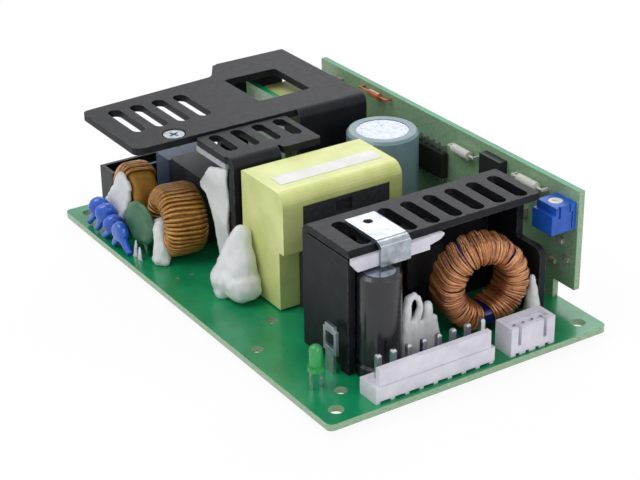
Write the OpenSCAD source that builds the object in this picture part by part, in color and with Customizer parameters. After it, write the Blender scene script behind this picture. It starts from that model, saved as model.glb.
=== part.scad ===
// Open frame switching power supply: an assembly of the pieces on one
// printed board. Units are millimetres. The origin is the centre of the
// footprint at the tips of the clipped leads, +X is the output end and
// +Y is the side of the upright control board.

/* [Board] */
// Board length
board_len = 127; // [127:0.5:135]
// Board width
board_wid = 76.2; // [76.2:0.1:80]
// Board thickness
board_thick = 1.6; // [1.2:0.1:2.0]
// Board corner radius
board_corner = 1.5; // [0.5:0.1:3]
// Clipped leads under the board
lead_tip = 2.0; // [1.2:0.1:3]
// Mounting hole centre to board edge
mount_inset = 4.75; // [4.5:0.05:5.5]
// Mounting hole diameter
mount_hole_d = 3.5; // [3.2:0.1:4]

/* [Heat sinks] */
// Rear heat sink top above the board
rear_sink_top = 33.0; // [32.8:0.1:35]
// Middle heat sink top above the board
middle_sink_top = 32.4; // [31.5:0.1:34]
// Output heat sink top above the board
output_sink_top = 30.46; // [30.3:0.02:31]
// Sheet thickness of the heat sinks
sink_gauge = 1.8; // [1.5:0.1:2]
// Outer radius of the heat sinks' bends
sink_bend = 2.4; // [2.1:0.1:2.8]
// Width of the cooling slots
slot_width = 3.3; // [2.5:0.1:3.6]
// Pitch of the cooling slots
slot_pitch = 6.1; // [5.8:0.05:6.15]

/* [Transformer] */
// Taped body length along the board
tape_len = 16.6; // [16:0.1:17]
// Taped body width across the board
tape_wid = 33.1; // [30:0.1:33.2]
// Taped body top above the board
tape_top = 30.5; // [28:0.1:31]

/* [Wound chokes] */
// Turns on the front input choke
front_turns = 38; // [30:1:40]
// Turns on the rear input choke
rear_turns = 17; // [12:1:18]
// Bundles on the output choke
output_bundles = 22; // [16:1:24]
// Input choke wire diameter
input_wire = 0.9; // [0.6:0.05:1.0]
// Output choke bundle thickness
bundle_thick = 1.5; // [1:0.1:1.6]

/* [Capacitors] */
// Bulk capacitor diameter
bulk_d = 18; // [16:0.1:18]
// Bulk capacitor height
bulk_h = 29.5; // [25:0.5:31]
// Output capacitor diameter
out_cap_d = 10; // [9:0.1:10]
// Output capacitor height
out_cap_h = 25; // [20:0.5:25.2]

/* [Control board] */
// Control board length
ctl_len = 106.6; // [100:0.2:107]
// Control board top above the main board
ctl_top = 30; // [29.8:0.1:32]
// Control board thickness
ctl_thick = 1.6; // [1.2:0.1:1.8]

/* [Connectors] */
// Pins in the output header
output_pins_n = 8; // [6:1:8]
// Pitch of the output header
output_pitch = 3.96; // [3.9:0.02:3.96]
// Pins in the signal header
signal_pins_n = 4; // [2:1:4]
// Pitch of the signal header
signal_pitch = 2.5; // [2:0.1:2.54]

/* [Trimmer] */
// Slotted rotor diameter
rotor_d = 3.4; // [2.6:0.1:3.6]
// Running gap round the rotor
rotor_gap = 0.06; // [0.04:0.01:0.1]

/* [Hidden] */

board_top = lead_tip + board_thick;
half_len = board_len / 2;
half_wid = board_wid / 2;
// the layout is drawn for these half sizes, and each end follows its edge
lay_x = 63.5;
lay_y = 38.1;
// pieces that touch are drawn this far apart
gap = 0.03;

module on_board() translate([0, 0, board_top]) children();
module at_output() translate([half_len - lay_x, 0, 0]) children();
module at_input() translate([lay_x - half_len, 0, 0]) children();
module at_control() translate([0, half_wid - lay_y, 0]) children();
module at_front() translate([0, lay_y - half_wid, 0]) children();

// ---------- shared shapes ----------
function unit(v) = v / norm(v);
function corner_arc(p, q, s, r, n) =
    let (a = unit(p - q), b = unit(s - q))
    let (half = acos(a * b) / 2)
    let (c = q + unit(a + b) * (r / sin(half)))
    let (p0 = q + a * (r / tan(half)) - c)
    let (p1 = q + b * (r / tan(half)) - c)
    let (a0 = atan2(p0[1], p0[0]), d = atan2(p1[1], p1[0]) - a0)
    let (e = d > 180 ? d - 360 : d < -180 ? d + 360 : d)
    [for (i = [0:n]) c + r * [cos(a0 + e * i / n), sin(a0 + e * i / n)]];
function round_corners(pts, r, n = 5) =
    let (m = len(pts))
    [for (i = [0:m - 1]) each
        corner_arc(pts[(i + m - 1) % m], pts[i], pts[(i + 1) % m],
            is_list(r) ? r[i] : r, n)];

module sheet(pts, r, z0, z1)
    translate([0, 0, z0])
        linear_extrude(z1 - z0) polygon(round_corners(pts, r));

module round_rect(w, d, r) {
    square([w - 2 * r, d], center = true);
    square([w, d - 2 * r], center = true);
    for (sx = [-1, 1])
        for (sy = [-1, 1])
            translate([sx * (w / 2 - r), sy * (d / 2 - r)])
                circle(r, $fn = 32);
}
module round_box(x0, x1, y0, y1, z0, z1, r)
    translate([(x0 + x1) / 2, (y0 + y1) / 2, z0])
        linear_extrude(z1 - z0) round_rect(x1 - x0, y1 - y0, r);
module box(x0, x1, y0, y1, z0, z1)
    translate([x0, y0, z0]) cube([x1 - x0, y1 - y0, z1 - z0]);
module slot_cut(x0, x1, y, w, z0, z1)
    translate([0, y, z0])
        linear_extrude(z1 - z0) {
            translate([x0 + w / 2, -w / 2]) square([x1 - x0 - w, w]);
            translate([x0 + w / 2, 0]) circle(d = w, $fn = 32);
            translate([x1 - w / 2, 0]) circle(d = w, $fn = 32);
        }
// a sheet that comes in along +X at height z and turns down at x = xe
module bend_down(xe, y0, y1, z, x_from, z_to)
    translate([0, y1, 0])
        rotate([90, 0, 0])
            linear_extrude(y1 - y0) {
                translate([x_from, z - sink_gauge])
                    square([xe - sink_bend - x_from, sink_gauge]);
                translate([xe - sink_gauge, z_to])
                    square([sink_gauge, z - sink_bend - z_to]);
                translate([xe - sink_bend, z - sink_bend])
                    intersection() {
                        difference() {
                            circle(sink_bend, $fn = 48);
                            circle(sink_bend - sink_gauge, $fn = 48);
                        }
                        square(sink_bend + 1);
                    }
            }
module up_cyl(x, y, z0, z1, r, fn = 32)
    translate([x, y, z0]) cylinder(h = z1 - z0, r = r, $fn = fn);

// ---------- boards ----------
slot_holes = [[52.9, -28.25, 3], [27.6, -34.05, 3], [18.15, -24.3, 3],
    [-12.5, -28.5, 1.2], [-12.5, -32.4, 1.2]];
module main_board() color([0.02, 0.42, 0.24])
    translate([0, 0, lead_tip])
        difference() {
            round_box(-half_len, half_len, -half_wid, half_wid, 0,
                board_thick, board_corner);
            for (sx = [-1, 1])
                for (sy = [-1, 1])
                    up_cyl(sx * (half_len - mount_inset),
                        sy * (half_wid - mount_inset),
                        -1, board_thick + 1, mount_hole_d / 2, 48);
            for (h = slot_holes)
                up_cyl(h[0], h[1], -1, board_thick + 1, h[2] / 2);
        }

lead_spots = [[-58, 18], [-58, 6], [-58, -10], [-50, -20], [-44, -20],
    [-30, -31], [-26, -31], [-21, -22], [-17, -28], [-45, 16], [-38, 19],
    [-24, 10], [-24, -8], [-10, -14], [-10, -8], [-6, 24], [-1, 20],
    [2, -17], [7, -17], [12, -17], [2, 9], [7, 9], [12, 9], [24, -6],
    [24, 4], [24, 18], [37, -17], [42, -17], [48, -18], [53, -18],
    [47, 3], [47, 23], [36, 8], [36, 16], [42.7, -25.6], [47, -25.6],
    [48.9, -30.7], [49.3, -33.3], [-50, 34], [-30, 34], [-10, 34],
    [10, 34], [30, 34], [44, 34]];
module solder_joint(x, y)
    translate([x, y, 0]) {
        translate([0, 0, lead_tip - 1.1])
            cylinder(h = 1.1, r1 = 0.5, r2 = 1.15, $fn = 24);
        cylinder(h = lead_tip - 1.1, r = 0.45, $fn = 24);
    }
module solder_joints() color([0.75, 0.76, 0.78]) {
    for (p = lead_spots)
        solder_joint(p[0], p[1]);
    at_output()
        for (i = [0:output_pins_n - 1])
            solder_joint(out_pin_x, out_pin_y + i * output_pitch);
    at_output()
        for (i = [0:signal_pins_n - 1])
            solder_joint(60.5, 12.96 + i * signal_pitch);
}

ctl_y0 = lay_y - ctl_thick;
ctl_step = 5;
module control_board() color([0.02, 0.36, 0.2])
    on_board() at_control()
        translate([0, lay_y, 0])
            rotate([90, 0, 0])
                linear_extrude(ctl_thick)
                    polygon([[-ctl_len / 2, 0], [46, 0], [46, ctl_step],
                        [ctl_len / 2, ctl_step], [ctl_len / 2, ctl_top],
                        [-ctl_len / 2, ctl_top]]);
module pfc_board() color([0.05, 0.4, 0.2])
    on_board() at_input()
        box(-53.4, -34.4, 12.6, 14.2, 0, 28.6);

// ---------- rear heat sink ----------
rear_edge = -18.0;
rear_back = -60.6;
rear_wall_y0 = 7;
rear_wall_y1 = 27.2;
rear_front_y = -38;
module rear_plate()
    difference() {
        sheet([[-48.3, rear_front_y], [-19.2, rear_front_y], [-19.2, 6.6],
            [rear_edge - sink_bend, rear_wall_y0],
            [rear_edge - sink_bend, rear_wall_y1],
            [rear_back + sink_bend, rear_wall_y1],
            [rear_back + sink_bend, 5.2], [-51.3, 0.9]],
            [2, 2.2, 0.3, 0.2, 0.05, 0.05, 0.05, 2.5],
            rear_sink_top - sink_gauge, rear_sink_top);
        sheet([[-47.1, 2.2], [-29.3, 2.2], [-29.3, 17.6], [-47.1, 17.6]],
            0.8, rear_sink_top - 4, rear_sink_top + 1);
        for (k = [0:3])
            slot_cut(-44.8, -28.6, -31.4 + k * slot_pitch,
                slot_width + 0.2, rear_sink_top - 4, rear_sink_top + 1);
        up_cyl(-23, -25.7, rear_sink_top - 4, rear_sink_top + 1, 1.7);
        translate([-23, -25.7, rear_sink_top - 1.2])
            cylinder(h = 1.21, r1 = 1.9, r2 = 3.1, $fn = 40);
    }
module rear_heatsink() color([0.2, 0.21, 0.25])
    on_board() at_input() {
        rear_plate();
        difference() {
            bend_down(rear_edge, rear_wall_y0, rear_wall_y1, rear_sink_top,
                rear_edge - sink_bend - 0.4, 0);
            box(rear_edge - 4, rear_edge + 1, 9, 12, -1, 1.5);
        }
        mirror([1, 0, 0])
            bend_down(-rear_back, rear_wall_y0, rear_wall_y1,
                rear_sink_top, -rear_back - sink_bend - 0.4, 0);
    }
module rear_heatsink_screw() color([0.6, 0.6, 0.62])
    on_board() at_input()
        difference() {
            union() {
                translate([-23, -25.7, rear_sink_top - 1.15])
                    cylinder(h = 0.95, r1 = 1.75, r2 = 2.6, $fn = 40);
                up_cyl(-23, -25.7, rear_sink_top - 3.2,
                    rear_sink_top - 1.15, 1.45);
            }
            for (a = [0, 90])
                translate([-23, -25.7, rear_sink_top - 0.5])
                    rotate([0, 0, a + 20])
                        cube([2.8, 0.6, 1], center = true);
        }

// ---------- middle heat sink ----------
mid_edge = -1.9;
module middle_heatsink() color([0.16, 0.17, 0.2])
    on_board() {
        difference() {
            sheet([[-18.8, -22.1], [mid_edge - sink_bend, -22.1],
                [mid_edge - sink_bend, -7.5], [-2.2, -7.5], [-2.2, 3.15],
                [-18.8, 3.15]], 0.8, middle_sink_top - sink_gauge,
                middle_sink_top);
            for (k = [0:3])
                slot_cut(-17.9, -7, -18.15 + k * 6, slot_width - 0.1,
                    middle_sink_top - 4, middle_sink_top + 1);
        }
        bend_down(mid_edge, -21.6, -8.3, middle_sink_top,
            mid_edge - sink_bend - 0.6, 0);
    }
module tab_transistor(x, y, z)
    translate([x, y, z]) {
        cube([4.4, 10, 9]);
        translate([3, 0, 9]) cube([1.4, 10, 6.2]);
        for (dy = [2.46, 5, 7.54])
            translate([1.9, dy - 0.4, -z + gap]) cube([0.6, 0.8, z]);
    }
module middle_transistors() color([0.1, 0.1, 0.11])
    on_board()
        tab_transistor(mid_edge - sink_gauge - 4.4 - gap, -19.5, 7);
module insulating_pad() color([0.86, 0.86, 0.87])
    on_board()
        box(-18.6, -4.9, -22.1, -20.4, 29.1,
            middle_sink_top - sink_gauge - gap);
module insulating_film() color([0.9, 0.9, 0.89])
    on_board()
        translate([0, -20.9, 0])
            rotate([90, 0, 0])
                linear_extrude(1)
                    polygon(round_corners([[-5.6, 29], [-5.8, 0.5],
                        [-9, 0.5], [-12.2, 14], [-15.4, 19.4],
                        [-18.6, 19.8], [-18.7, 21.2], [-13.5, 26.5]],
                        0.4, 3));

// ---------- output heat sink ----------
out_back = 31.1;
out_front = 48.9;
out_left = -23.6;
out_right = 28.5;
slot_rows = [0, 2, 3, 4, 5, 6, 7];
module output_heatsink() color([0.17, 0.18, 0.22])
    on_board() at_output()
        difference() {
            union() {
                translate([2 * out_back, 0, 0])
                    mirror([1, 0, 0])
                        bend_down(out_back, out_left, out_right,
                            output_sink_top,
                            2 * out_back - out_front, 0);
                difference() {
                    box(out_back + sink_gauge - 0.2, out_front, out_left,
                        out_left + sink_gauge, 0,
                        output_sink_top - sink_gauge - 0.5);
                    box(36, 46, out_left - 1, out_left + 3, -1, 1.5);
                }
                translate([0, out_right, 0])
                    rotate([90, 0, 0])
                        linear_extrude(sink_gauge)
                            polygon(round_corners([[32.6, 0], [52.2, 0],
                                [52.2, 17.8], [43.6, 17.8],
                                [43.6, output_sink_top - 1], [32.6,
                                output_sink_top - 1]], [0.1, 0.1, 2.2,
                                0.3, 0.1, 0.1], 5));
            }
            for (k = slot_rows)
                slot_cut(35.6, 48.3, -18.1 + k * slot_pitch, slot_width,
                    output_sink_top - 3, output_sink_top + 1);
            translate([out_back, out_right, -1])
                linear_extrude(50)
                    polygon([[-1, -4.2], [-1, 1], [3, 1], [1.6, 0.01]]);
            up_cyl(40.7, -12.8, output_sink_top - 3, output_sink_top + 1,
                1.2);
        }
clip_z = output_sink_top + gap;
module rectifier_clip() color([0.62, 0.64, 0.67])
    on_board() at_output()
        difference() {
        translate([0, -8.8, 0])
            rotate([90, 0, 0])
                linear_extrude(7.8) {
                    translate([37.3, clip_z]) square([12.1, 0.8]);
                    translate([50.4, 25.5])
                        square([0.8, clip_z - 25.5 - 0.2]);
                    translate([49.4, clip_z - 0.2 - 0.8 + 0.8 - 1])
                        intersection() {
                            difference() {
                                circle(1.8, $fn = 32);
                                circle(1.0, $fn = 32);
                            }
                            square(3);
                        }
                }
        up_cyl(40.7, -12.8, clip_z - 1, clip_z + 2, 1.1);
        }
module clamp_bar() color([0.88, 0.88, 0.9])
    on_board() at_output()
        translate([49, 0, 0])
            rotate([90, 0, 90])
                linear_extrude(1.35)
                    polygon([[-22, 25.6], [-3.1, 25.6], [-3.1, 28.55],
                        [-23.2, 28.55], [-23.2, 27.2]]);
module clamp_tab() color([0.9, 0.9, 0.9])
    on_board() at_output()
        translate([49, 0, 0])
            rotate([90, 0, 90])
                linear_extrude(1)
                    polygon(round_corners([[-3, 26.4], [0, 27.2],
                        [1.8, 28.6], [-3, 28.6]], 0.4, 3));
module output_rectifiers() color([0.1, 0.1, 0.11])
    on_board() at_output() {
        for (y = [-11.4, 0.4])
            translate([33, y, 9]) {
                cube([4.4, 10, 9]);
                cube([1.3, 10, 15.2]);
                for (dy = [2.46, 5, 7.54])
                    translate([1.9, dy - 0.4, -9 + gap])
                        cube([0.6, 0.8, 9]);
            }
    }

// ---------- transformer ----------
tx0 = -0.6;
ty1 = 12.6;
tx1 = tx0 + tape_len;
ty0 = ty1 - tape_wid;
tx_core = tx1 - 0.2;
tape_front = tx1 + 2;
module transformer_tape() color([0.86, 0.88, 0.6])
    on_board()
        difference() {
            translate([0, ty1, 0])
                rotate([90, 0, 0])
                    linear_extrude(tape_wid)
                        polygon(round_corners([[tx0, 0.5],
                            [tape_front, 0.5], [tape_front, tape_top],
                            [tx0, tape_top]], [1.2, 1.2, 3.4, 1], 7));
            box(tx1 - 2.6, tape_front + 1, ty0 + 5.4, ty1 - 3.6, -1, 26.6);
            box(tx1, tape_front + 1, ty0 - 1, ty0 + 5.5, -1, 15.4);
            translate([tx0, ty0, -1])
                linear_extrude(40)
                    polygon([[-1, -1], [0.9, -1], [0.3, 0.1], [0, 0.4],
                        [0, 1], [-1, 1]]);
        }
module transformer_core() color([0.09, 0.09, 0.1])
    on_board()
        difference() {
            box(tx1 - 2.6 + gap, tx1 + 2, ty0 + 5.4 + gap,
                ty1 - 3.6 - gap, 0, 26.5);
            box(tx1 + 0.8, tx1 + 3, -6.2, -1.4, 22.2, 25.6);
        }
module transformer_label() color([0.9, 0.9, 0.92])
    on_board()
        box(7.8, 12.6, -17.5, 10.6, tape_top, tape_top + 0.1);

// ---------- capacitors ----------
module can(x, y, d, h, groove)
    translate([x, y, 0])
        rotate_extrude($fn = 64)
            polygon([[0, 0.3], [d / 2 - 0.8, 0.3], [d / 2 - 0.4, 0.7],
                [d / 2 - 0.4, groove - 1.1], [d / 2 - 1.1, groove],
                [d / 2 - 0.4, groove + 1.1], [d / 2 - 0.4, h - 0.5],
                [d / 2 - 0.9, h - 0.12], [0, h - 0.12]]);
module sleeve(x, y, d, h, top_r)
    translate([x, y, 0])
        rotate_extrude($fn = 64)
            polygon([[d / 2 - 0.35, 0.1], [d / 2, 0.1], [d / 2, 2.6],
                [d / 2 - 0.5, 3.3], [d / 2, 4.0], [d / 2, h - 0.7],
                [d / 2 - 0.6, h], [top_r, h], [top_r, h - 0.1],
                [d / 2 - 0.75, h - 0.1], [d / 2 - 0.35, h - 0.55],
                [d / 2 - 0.35, 4.1], [d / 2 - 0.9, 3.3],
                [d / 2 - 0.35, 2.5]]);
module bulk_capacitor_can() color([0.7, 0.75, 0.83])
    on_board() can(-3.5, 22, bulk_d, bulk_h, 3.3);
module bulk_capacitor_sleeve() color([0.6, 0.7, 0.74])
    on_board() sleeve(-3.5, 22, bulk_d, bulk_h, bulk_d * 0.36);
out_caps = [[50.9, -16.9], [40.2, -16.7]];
module output_capacitor_cans() color([0.5, 0.5, 0.52])
    on_board() at_output()
        for (c = out_caps)
            can(c[0], c[1], out_cap_d, out_cap_h, 3.3);
module output_capacitor_sleeves() color([0.12, 0.12, 0.14])
    on_board() at_output()
        for (c = out_caps)
            sleeve(c[0], c[1], out_cap_d, out_cap_h, out_cap_d * 0.36);

// ---------- wound rings ----------
// each ring is drawn about Z and stood up by ring_at
module ring_at(c, az)
    translate(c) rotate([0, 0, az]) rotate([0, 90, 0]) children();
module ring_core(ri, ro, h, r)
    rotate_extrude($fn = 72)
        translate([(ri + ro) / 2, 0]) round_rect(ro - ri, h, r);
// points of a rounded rectangle loop: [radius, height, out_r, out_h]
function ring_loop(ri, ro, h, r, n) =
    [for (q = [[ro - r, h / 2 - r, 0], [ri + r, h / 2 - r, 90],
            [ri + r, r - h / 2, 180], [ro - r, r - h / 2, 270]])
        for (i = [0:n])
            let (a = q[2] + 90 * i / n)
            [q[0] + r * cos(a), q[1] + r * sin(a), cos(a), sin(a)]];
// one turn: sec lists [side, lift] of the wire's section
module ring_turn(loop, ang, half, sec) {
    m = len(loop);
    k = len(sec);
    pts = [for (p = loop)
        for (s = sec)
            let (rr = p[0] + p[2] * s[1], hh = p[1] + p[3] * s[1])
            let (t = s[0] * half * 0.94)
            [rr * cos(ang + t), rr * sin(ang + t), hh]];
    faces = [for (i = [0:m - 1])
        for (j = [0:k - 1])
            let (a = i * k + j, b = i * k + (j + 1) % k)
            let (c = ((i + 1) % m) * k + j, d = ((i + 1) % m) * k
                + (j + 1) % k)
            each [[a, b, d], [a, d, c]]];
    polyhedron(pts, faces, convexity = 6);
}
wire_lift = 0.07;
module winding(ri, ro, h, r, turns, a0, a1, thick, sec)
    for (i = [0:turns - 1])
        ring_turn(ring_loop(ri, ro, h, r, 3),
            a0 + (a1 - a0) * (i + 0.5) / turns,
            abs(a1 - a0) / turns / 2, sec);
wire_sec = [[1, wire_lift], [0.55, input_wire], [-0.55, input_wire],
    [-1, wire_lift]];
bundle_lift = 0.2;
bundle_sec = [[1, bundle_lift], [0.85, bundle_thick * 0.65],
    [0.35, bundle_thick], [-0.35, bundle_thick],
    [-0.85, bundle_thick * 0.65], [-1, bundle_lift]];

front_c = [-24.6, -25.0, 9.4];
rear_c = [-42.2, -26.7, 9.4];
out_c = [47.8, 12.9, 12.3];
module front_choke_core() color([0.66, 0.47, 0.12])
    on_board() at_input() at_front()
        ring_at(front_c, 82) ring_core(4.3, 8.2, 9.2, 1.9);
module front_choke_winding() color([0.73, 0.5, 0.18])
    on_board() at_input() at_front()
        ring_at(front_c, 82)
            winding(4.3, 8.2, 9.2, 1.9, front_turns, 62, 372,
                input_wire, wire_sec);
module rear_choke_core() color([0.66, 0.47, 0.12])
    on_board() at_input() at_front()
        ring_at(rear_c, 83) ring_core(4.5, 8.1, 6.8, 1.7);
module rear_choke_winding() color([0.73, 0.5, 0.18])
    on_board() at_input() at_front()
        ring_at(rear_c, 83)
            winding(4.5, 8.1, 6.8, 1.7, rear_turns, 20, 200,
                input_wire, wire_sec);
module output_choke_core() color([0.08, 0.12, 0.42])
    on_board() at_output()
        ring_at(out_c, -10) ring_core(6.4, 10.4, 7.4, 1.5);
module output_choke_winding() color([0.79, 0.54, 0.33])
    on_board() at_output()
        ring_at(out_c, -10)
            winding(6.4, 10.4, 7.4, 1.5, output_bundles, 12, 348,
                bundle_thick, bundle_sec);

// ---------- under the heat sinks ----------
module pfc_choke() color([0.88, 0.88, 0.62])
    on_board() at_input() {
        round_box(-50, -35, 15.4, 26.6, 2.2, 27.4, 1.4);
        round_box(-49.4, -35.6, 14.8, 26.9, 0, 2.2, 0.8);
    }
module small_choke() color([0.72, 0.42, 0.18])
    on_board() at_input()
        ring_at([-20.9, -10.2, 5.1], 4) ring_core(2.3, 4.9, 3.8, 1.3);
module film_capacitor() color([0.24, 0.25, 0.29])
    on_board() at_input()
        round_box(-41.5, -25.2, -17.6, -9.4, 0, 18, 0.6);
module small_film_capacitor() color([0.42, 0.47, 0.56])
    on_board() at_input()
        round_box(-49.6, -42.2, -17.6, -5, 0, 17, 0.6);
module input_socket() color([0.2, 0.2, 0.21])
    on_board() at_input()
        difference() {
            box(-60.5, -53.4, -28.4, -10.4, 0, 11.8);
            box(-59.5, -54.4, -27.4, -11.4, 2, 13);
            box(-54.6, -52, -25.9, -24.7, 4, 13);
        }

// ---------- small parts at the input end ----------
module blue_body(p, r, t, turn, feet) {
    translate(p)
        rotate([90, 0, turn])
            rotate_extrude($fn = 48)
                polygon([[0, -t], [r * 0.45, -t], [r * 0.75, -t * 0.84],
                    [r * 0.93, -t * 0.5], [r, 0], [r * 0.93, t * 0.5],
                    [r * 0.75, t * 0.84], [r * 0.45, t], [0, t]]);
    for (i = [0, 1])
        slanted(p + [cos(turn) * (2 * i - 1) * r * 0.42,
                sin(turn) * (2 * i - 1) * r * 0.42, -r * 0.62],
            [feet[i][0], feet[i][1], 0.6], 1.15, 0.75);
}
// a tapered rod from a to b
module slanted(a, b, ra, rb) {
    v = b - a;
    l = norm(v);
    translate(a)
        rotate([0, acos(v[2] / l), atan2(v[1], v[0])])
            cylinder(h = l, r1 = ra, r2 = rb, $fn = 24);
}
module at_blue() on_board() at_input() at_front() children();
module blue_capacitor_1() color([0.11, 0.37, 0.82]) at_blue()
    blue_body([-34.4, -36.3, 4.9], 2.8, 1.5, 6,
        [[-37.2, -36.9], [-29.8, -36.3]]);
module blue_capacitor_2() color([0.11, 0.37, 0.82]) at_blue()
    blue_body([-40.2, -35.2, 4.4], 2.8, 1.6, 58,
        [[-42.6, -36.9], [-38.6, -33]]);
module blue_capacitor_3() color([0.11, 0.37, 0.82]) at_blue()
    blue_body([-44.2, -35.3, 6.1], 2.8, 1.5, 56,
        [[-47.4, -36.6], [-43.6, -32.9]]);
module blue_capacitor_4() color([0.11, 0.37, 0.82]) at_blue()
    blue_body([-48.1, -35.2, 6.3], 2.8, 1.5, 56,
        [[-52.3, -36.3], [-48, -33]]);
module surge_disc() color([0.25, 0.43, 0.31])
    on_board() at_input() at_front() {
        translate([-30.1, -32.7, 8.2])
            rotate([90, 0, 9])
                rotate_extrude($fn = 64)
                    polygon([[0, -1.2], [4.4, -1.1], [5.4, -0.6],
                        [5.8, 0], [5.4, 0.6], [4.4, 1.1], [0, 1.2]]);
        slanted([-28.4, -32.4, 3.4], [-27.2, -32.7, 0.5], 0.7, 0.42);
    }
module surge_feet() color([0.86, 0.88, 0.86])
    on_board() at_input() at_front() {
        for (p = [[-29.3, -34.6, 1.15, 4.2], [-26.8, -34.9, 0.9, 3.4]])
            translate([p[0], p[1], 0])
                cylinder(h = p[3], r1 = p[2], r2 = 0.25, $fn = 24);
    }

// ---------- small parts at the output end ----------
module led_body() color([0.31, 0.77, 0.45])
    on_board() at_output() at_front() {
        up_cyl(49.1, -32.1, 4.5, 5.6, 1.95);
        up_cyl(49.1, -32.1, 5.6, 9.3, 1.5);
        translate([49.1, -32.1, 9.3])
            intersection() {
                sphere(1.5, $fn = 32);
                cylinder(h = 3, r = 2, $fn = 32);
            }
    }
module led_leads() color([0.78, 0.78, 0.8])
    on_board() at_output() at_front()
        for (s = [-1, 1])
            box(48.8, 49.4, -32.1 + s * 1.27 - 0.3,
                -32.1 + s * 1.27 + 0.3, 0, 4.5 - gap);
module ground_tab() color([0.72, 0.73, 0.75])
    on_board() at_output() at_front()
        translate([0, -25.2, 0])
            rotate([90, 0, 0])
                linear_extrude(0.8)
                    difference() {
                        union() {
                            translate([42.7, 5]) square([4.9, 5.8]);
                            translate([43.4, 10.8]) square([3.5, 1]);
                            translate([43.5, 0]) square([3.1, 5]);
                        }
                        translate([43.5, 6.3]) square([3.3, 3.6]);
                    }

out_pin_x = 58.6;
out_pin_y = -22.5;
base_y0 = -25.5;
base_y1 = out_pin_y + 7 * 3.96 + 1.1;
module output_header() color([0.88, 0.88, 0.91])
    on_board() at_output()
        difference() {
            union() {
                box(56.1, 62.2, base_y0, base_y1, 0.5, 4);
                box(60.6, 62.0, -24.5, 5.3, 4, 8.2);
                for (i = [0:8])
                    box(56.1, 62.2, base_y0 + 0.01 + i * 3.8,
                        base_y0 + 1.1 + i * 3.8, 0, 0.5);
            }
            for (i = [0:output_pins_n - 1])
                box(out_pin_x - 0.6, out_pin_x + 0.6,
                    out_pin_y - 0.6 + i * output_pitch,
                    out_pin_y + 0.6 + i * output_pitch, -1, 5);
        }
module header_pin(w, h)
    union() {
        translate([-w / 2, -w / 2, 0]) cube([w, w, h - 0.5]);
        translate([0, 0, h - 0.5])
            rotate([0, 0, 45])
                cylinder(h = 0.5, r1 = w * 0.707, r2 = w * 0.4, $fn = 4);
    }
module output_pins() color([0.8, 0.8, 0.78])
    on_board() at_output()
        for (i = [0:output_pins_n - 1])
            translate([out_pin_x, out_pin_y + i * output_pitch, 0])
                header_pin(1.14, 9.8);
module signal_header() color([0.9, 0.9, 0.92])
    on_board() at_output()
        difference() {
            box(56.95, 62.7, 10.51, 22.91, 0, 7);
            box(58, 61.6, 11.5, 21.9, 6, 8);
            for (y = [12.9, 20.1])
                box(61, 63, y - 0.45, y + 0.45, 2.4, 8);
            for (y = [12.4, 15.2, 18, 20.8])
                box(61.5, 63, y - 0.5, y + 0.5, -1, 0.6);
            for (i = [0:signal_pins_n - 1])
                box(60.15, 60.85, 12.61 + i * signal_pitch,
                    13.31 + i * signal_pitch, -1, 8);
        }
module signal_pins() color([0.8, 0.78, 0.7])
    on_board() at_output()
        for (i = [0:signal_pins_n - 1])
            translate([60.5, 12.96 + i * signal_pitch, 0])
                header_pin(0.64, 6.7);

// ---------- on the control board ----------
rotor_c = [48.8, 33.4];
module trimmer_body() color([0.13, 0.38, 0.78])
    on_board() at_control()
        difference() {
            union() {
                box(45.8, 52.5, 30.5, ctl_y0 - gap, 20.6, 27.2);
                box(45.6, 52.5, 29.4, ctl_y0 - gap, 20.6, 25.4);
            }
            up_cyl(rotor_c[0], rotor_c[1], 25.4, 28,
                rotor_d / 2 + rotor_gap, 48);
            box(52.1, 53, 31.3, 31.9, 24.4, 27.5);
            box(52.1, 53, 34.4, 34.8, 25.4, 27.5);
            box(52.2, 53, 35.2, 35.5, 21, 25.4);
        }
module trimmer_rotor() color([0.9, 0.89, 0.86])
    on_board() at_control()
        difference() {
            up_cyl(rotor_c[0], rotor_c[1], 25.4 + gap, 27.1,
                rotor_d / 2, 48);
            translate([rotor_c[0], rotor_c[1], 27.2])
                rotate([0, 0, 35])
                    cube([1.5, 0.5, 1.4], center = true);
        }
module control_chip_large() color([0.1, 0.1, 0.11])
    on_board() at_control()
        box(-16, 4.6, 34.4, ctl_y0 - 0.35, 15.8, 22.4);
module chip_pins() color([0.78, 0.79, 0.8])
    on_board() at_control()
        for (i = [0:7])
            for (z = [[22.4, 24.2], [14, 15.8]])
                box(-14.6 + i * 2.54, -14.1 + i * 2.54, 35.3,
                    ctl_y0 - gap, z[0] + gap, z[1] - gap);
module control_chip_small() color([0.11, 0.11, 0.12])
    on_board() at_control()
        box(19.6, 27.4, 34.2, ctl_y0 - gap, 21.6, 28.4);
module axial(x0, x1, z, r, y, l0, l1)
    translate([0, y, z])
        rotate([0, 90, 0]) {
            translate([0, 0, x0]) cylinder(h = x1 - x0, r = r, $fn = 32);
            translate([0, 0, l0])
                cylinder(h = l1 - l0, r = 0.3, $fn = 16);
        }
module lead_down(x, z)
    box(x - 0.3, x + 0.3, 34.6, ctl_y0 - gap, z - 0.3, z + 0.3);
module glass_diode() color([0.75, 0.24, 0.12])
    on_board() at_control() {
        axial(-27.6, -23.4, 28.6, 0.95, 34.9, -32.2, -20.4);
        lead_down(-32.2, 28.6);
        lead_down(-20.4, 28.6);
    }
module white_resistor_1() color([0.85, 0.85, 0.84])
    on_board() at_control() {
        axial(33.7, 40.3, 26.8, 1.15, 34.9, 31.2, 42.6);
        lead_down(31.5, 26.8);
        lead_down(42.3, 26.8);
    }
module white_resistor_2() color([0.86, 0.86, 0.85])
    on_board() at_control() {
        axial(8.6, 14.8, 25.6, 1.15, 34.9, 6.4, 16.8);
        lead_down(6.7, 25.6);
        lead_down(16.5, 25.6);
    }
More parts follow.
